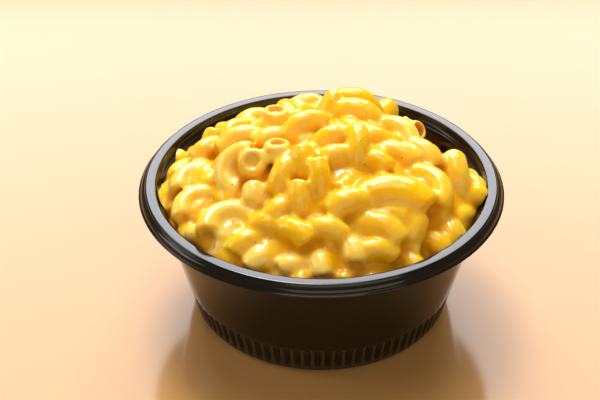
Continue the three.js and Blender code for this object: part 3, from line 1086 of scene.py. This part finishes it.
def fleck_mould(number, shape):
    """A flattened, uneven ball of 1 mm in radius, at the origin."""
    bpy.ops.object.select_all(action="DESELECT")
    bpy.ops.mesh.primitive_ico_sphere_add(subdivisions=2, radius=MM)
    mould = start_piece(f"fleck_{number}")
    bpy.ops.transform.resize(value=shape, center_override=(0, 0, 0))
    bpy.ops.transform.vertex_random(offset=FLECK_UNEVEN * MM, seed=number)
    return finish_piece(mould)


fleck_moulds = [fleck_mould(number, shape) for number, shape in enumerate(FLECK_SHAPES)]
print("kinds of fleck:", len(fleck_moulds))

# %% [markdown]
# Each fleck is dropped on the heap from straight above, lies flat on the surface that it meets, and is
# half sunk in it. They fall in a round field that reaches further to the left and the front. All of them
# then become one piece.

# %% Flecks on the sauce
FLECK_SEED = 29
FLECK_COUNT = 220
FLECK_SIZES = (0.13, 0.36)
FLECK_FIELD = {"x": -14, "y": -10, "reach": 50}
FLECK_BROWN = (0.30, 0.10, 0.01, 1)

draw = seeded_draws(FLECK_SEED)
fleck_copies = []
for number in range(FLECK_COUNT):
    angle = draw(0, 2 * math.pi)
    reach = FLECK_FIELD["reach"] * math.sqrt(draw(0, 1))
    size = draw(*FLECK_SIZES)
    turn = draw(0, 2 * math.pi)
    x = FLECK_FIELD["x"] + reach * math.cos(angle)
    y = FLECK_FIELD["y"] + reach * math.sin(angle)
    met, point, normal, face = heap.ray_cast(Vector((x, y, ABOVE_ALL)) * MM, Vector((0, 0, -1)))
    if not met or point.xy.length > FILL_REACH * MM:
        continue
    copy = bpy.data.objects.new("fleck", fleck_moulds[number % len(fleck_moulds)].data.copy())
    bpy.context.scene.collection.objects.link(copy)
    lie = normal.to_track_quat("Z", "Y").to_matrix().to_4x4() @ Matrix.Rotation(turn, 4, "Z")
    copy.data.transform(Matrix.Translation(point) @ lie @ Matrix.Scale(size, 4))
    fleck_copies.append(copy)
select_only(*fleck_copies)
bpy.ops.object.join()
flecks = bpy.context.object
flecks.name = flecks.data.name = "flecks"
for mould in fleck_moulds:
    bpy.data.objects.remove(mould)
flecks.data.materials.clear()
flecks.data.materials.append(new_material("browned_flecks", Base_Color=FLECK_BROWN, Roughness=0.45)[0])
print("flecks:", len(fleck_copies), "of", triangles(flecks), "triangles in all")

# %% [markdown]
# The ribs of the bowl's foot are painted a little lighter than the pockets between them, as a painted
# highlight where a rib would catch the light. So each vertex of the fluted band is marked by how far it
# stands out, from the bottom of the pockets to the ribs.

# %% Mark the ribs
RIB_FROM = 0.4
RIB_FULL = 0.9

rib_marks = []
for vertex in bowl.data.vertices:
    x, y, z = vertex.co / MM
    stands_out = (math.hypot(x, y) - flute_radius(z) + FLUTE_DEPTH) / FLUTE_DEPTH
    on_band = FLUTE_ROWS[0] < z < FLUTE_ROWS[-1] and stands_out > 0
    rib_marks.append(float(ramp(stands_out, RIB_FROM, RIB_FULL)) if on_band else 0.0)
rib_attribute = bowl.data.attributes.new("rib", "FLOAT", "POINT")
rib_attribute.data.foreach_set("value", rib_marks)
print("vertices on ribs:", sum(mark > 0.5 for mark in rib_marks))

# %% [markdown]
# The bowl is smooth black plastic. Straight from the mould it is not a mirror: its gloss varies slowly,
# so reflections are soft in places, and its skin is not quite flat.

# %% Black plastic
PLASTIC_BLACK = (0.004, 0.003, 0.0025)
# painted highlight on the ribs of the flutes
PLASTIC_RIB_HIGHLIGHT = (0.045, 0.033, 0.022)
PLASTIC_ROUGHNESS = {"lumps": (0.3, 0.7), "roughness": (0.07, 0.15)}
PLASTIC_BUMP = {"strength": 0.05, "depth": 0.2 * MM}

bowl_material, plastic_tree, plastic = new_material("black_plastic", Roughness=0.11, IOR=1.5)
skin = place_group(plastic_tree, uneven_skin, Lumps_per_metre=60, Grit=0.5)
# painted highlight: the ribs are lighter than the pockets
colour = mix_colours(plastic_tree, mark_between(plastic_tree, "rib", WHOLE), PLASTIC_BLACK, PLASTIC_RIB_HIGHLIGHT)
gloss = run_between(plastic_tree, skin["Lumps"], PLASTIC_ROUGHNESS["lumps"], PLASTIC_ROUGHNESS["roughness"])
plastic_tree.links.new(colour, plastic.inputs["Base Color"])
plastic_tree.links.new(gloss, plastic.inputs["Roughness"])
add_bump(plastic_tree, plastic, skin["Lumps"], **PLASTIC_BUMP)
bowl.data.materials.clear()
bowl.data.materials.append(bowl_material)
print("nodes in the plastic's material:", len(plastic_tree.nodes))

# %% [markdown]
# ## Stage
#
# The bowl stands on a plain pale table, which is polished: it mirrors whatever is bright behind the bowl,
# and shows its own warm colour where the bowl is in the way.

# %% Floor
TABLE_SIDE = 6.0  # metres
TABLE_COLOUR = (0.58, 0.32, 0.13, 1)

bpy.ops.mesh.primitive_plane_add(size=TABLE_SIDE, location=(0, 0, 0))
floor = bpy.context.object
floor.name = "floor"
table_material = new_material("pale_table", Base_Color=TABLE_COLOUR, Roughness=0.12, IOR=1.34)[0]
floor.data.materials.append(table_material)
print("floor:", TABLE_SIDE, "m wide")

# %% [markdown]
# Soft panels stand for a bright room. The window, high behind the bowl, draws the bright tops of the
# elbows. The sky is a wider panel further back, for the table and the rim to mirror. The ceiling and the
# side soften the shadows, and a warm fill in front keeps the near side of the bowl from going black. What
# is left of the room is an even, warm glow.

# %% Light and colour
LIGHT_TARGET = Vector((0, 0, 0.05))
LIGHTS = {
    "window": {"place": (-0.35, 1.15, 2.4), "size": (0.75, 0.75), "power": 34, "colour": (1.0, 0.99, 0.97)},
    "sky": {"place": (0.0, 2.7, 2.45), "size": (3.0, 2.4), "power": 160, "colour": (0.91, 0.92, 1.0)},
    "ceiling": {"place": (0.0, 0.1, 1.5), "size": (0.7, 0.7), "power": 5, "colour": (1.0, 0.97, 0.92)},
    "side": {"place": (-2.2, 0.3, 1.2), "size": (1.2, 1.2), "power": 12, "colour": (1.0, 0.95, 0.86)},
    "front_fill": {"place": (0.5, -2.2, 1.3), "size": (3.2, 2.0), "power": 22, "colour": (1.0, 0.88, 0.62)},
}
ROOM_COLOUR = (1.0, 0.84, 0.52, 1)
ROOM_GLOW = 0.22


def soft_light(name, place, size, power, colour):
    """A flat, evenly lit panel that points at the food; lengths are in metres, power in watts."""
    data = bpy.data.lights.new(name, "AREA")
    data.shape = "RECTANGLE"
    data.size, data.size_y = size
    data.energy = power
    data.color = colour
    light = bpy.data.objects.new(name, data)
    bpy.context.scene.collection.objects.link(light)
    light.location = place
    light.rotation_euler = (LIGHT_TARGET - Vector(place)).to_track_quat("-Z", "Y").to_euler()


for name, settings in LIGHTS.items():
    soft_light(name, **settings)

world = bpy.data.worlds.new("room")
world.use_nodes = True
glow = world.node_tree.nodes["Background"]
glow.inputs["Color"].default_value = ROOM_COLOUR
glow.inputs["Strength"].default_value = ROOM_GLOW
bpy.context.scene.world = world
bpy.context.scene.view_settings.view_transform = "Standard"
print("lights:", list(LIGHTS))

# %% [markdown]
# Last, each new piece is tied to the plain model: it rides on the same body. The bowl and the heap take
# the place of the plain solids, which are hidden.

# %% Tie the pieces to the plain model
for piece, slot in ((bowl, "plastic"), (heap, "pasta"), (flecks, "pasta")):
    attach(piece, "root")
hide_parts("bowl")
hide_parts("macaroni_heap")
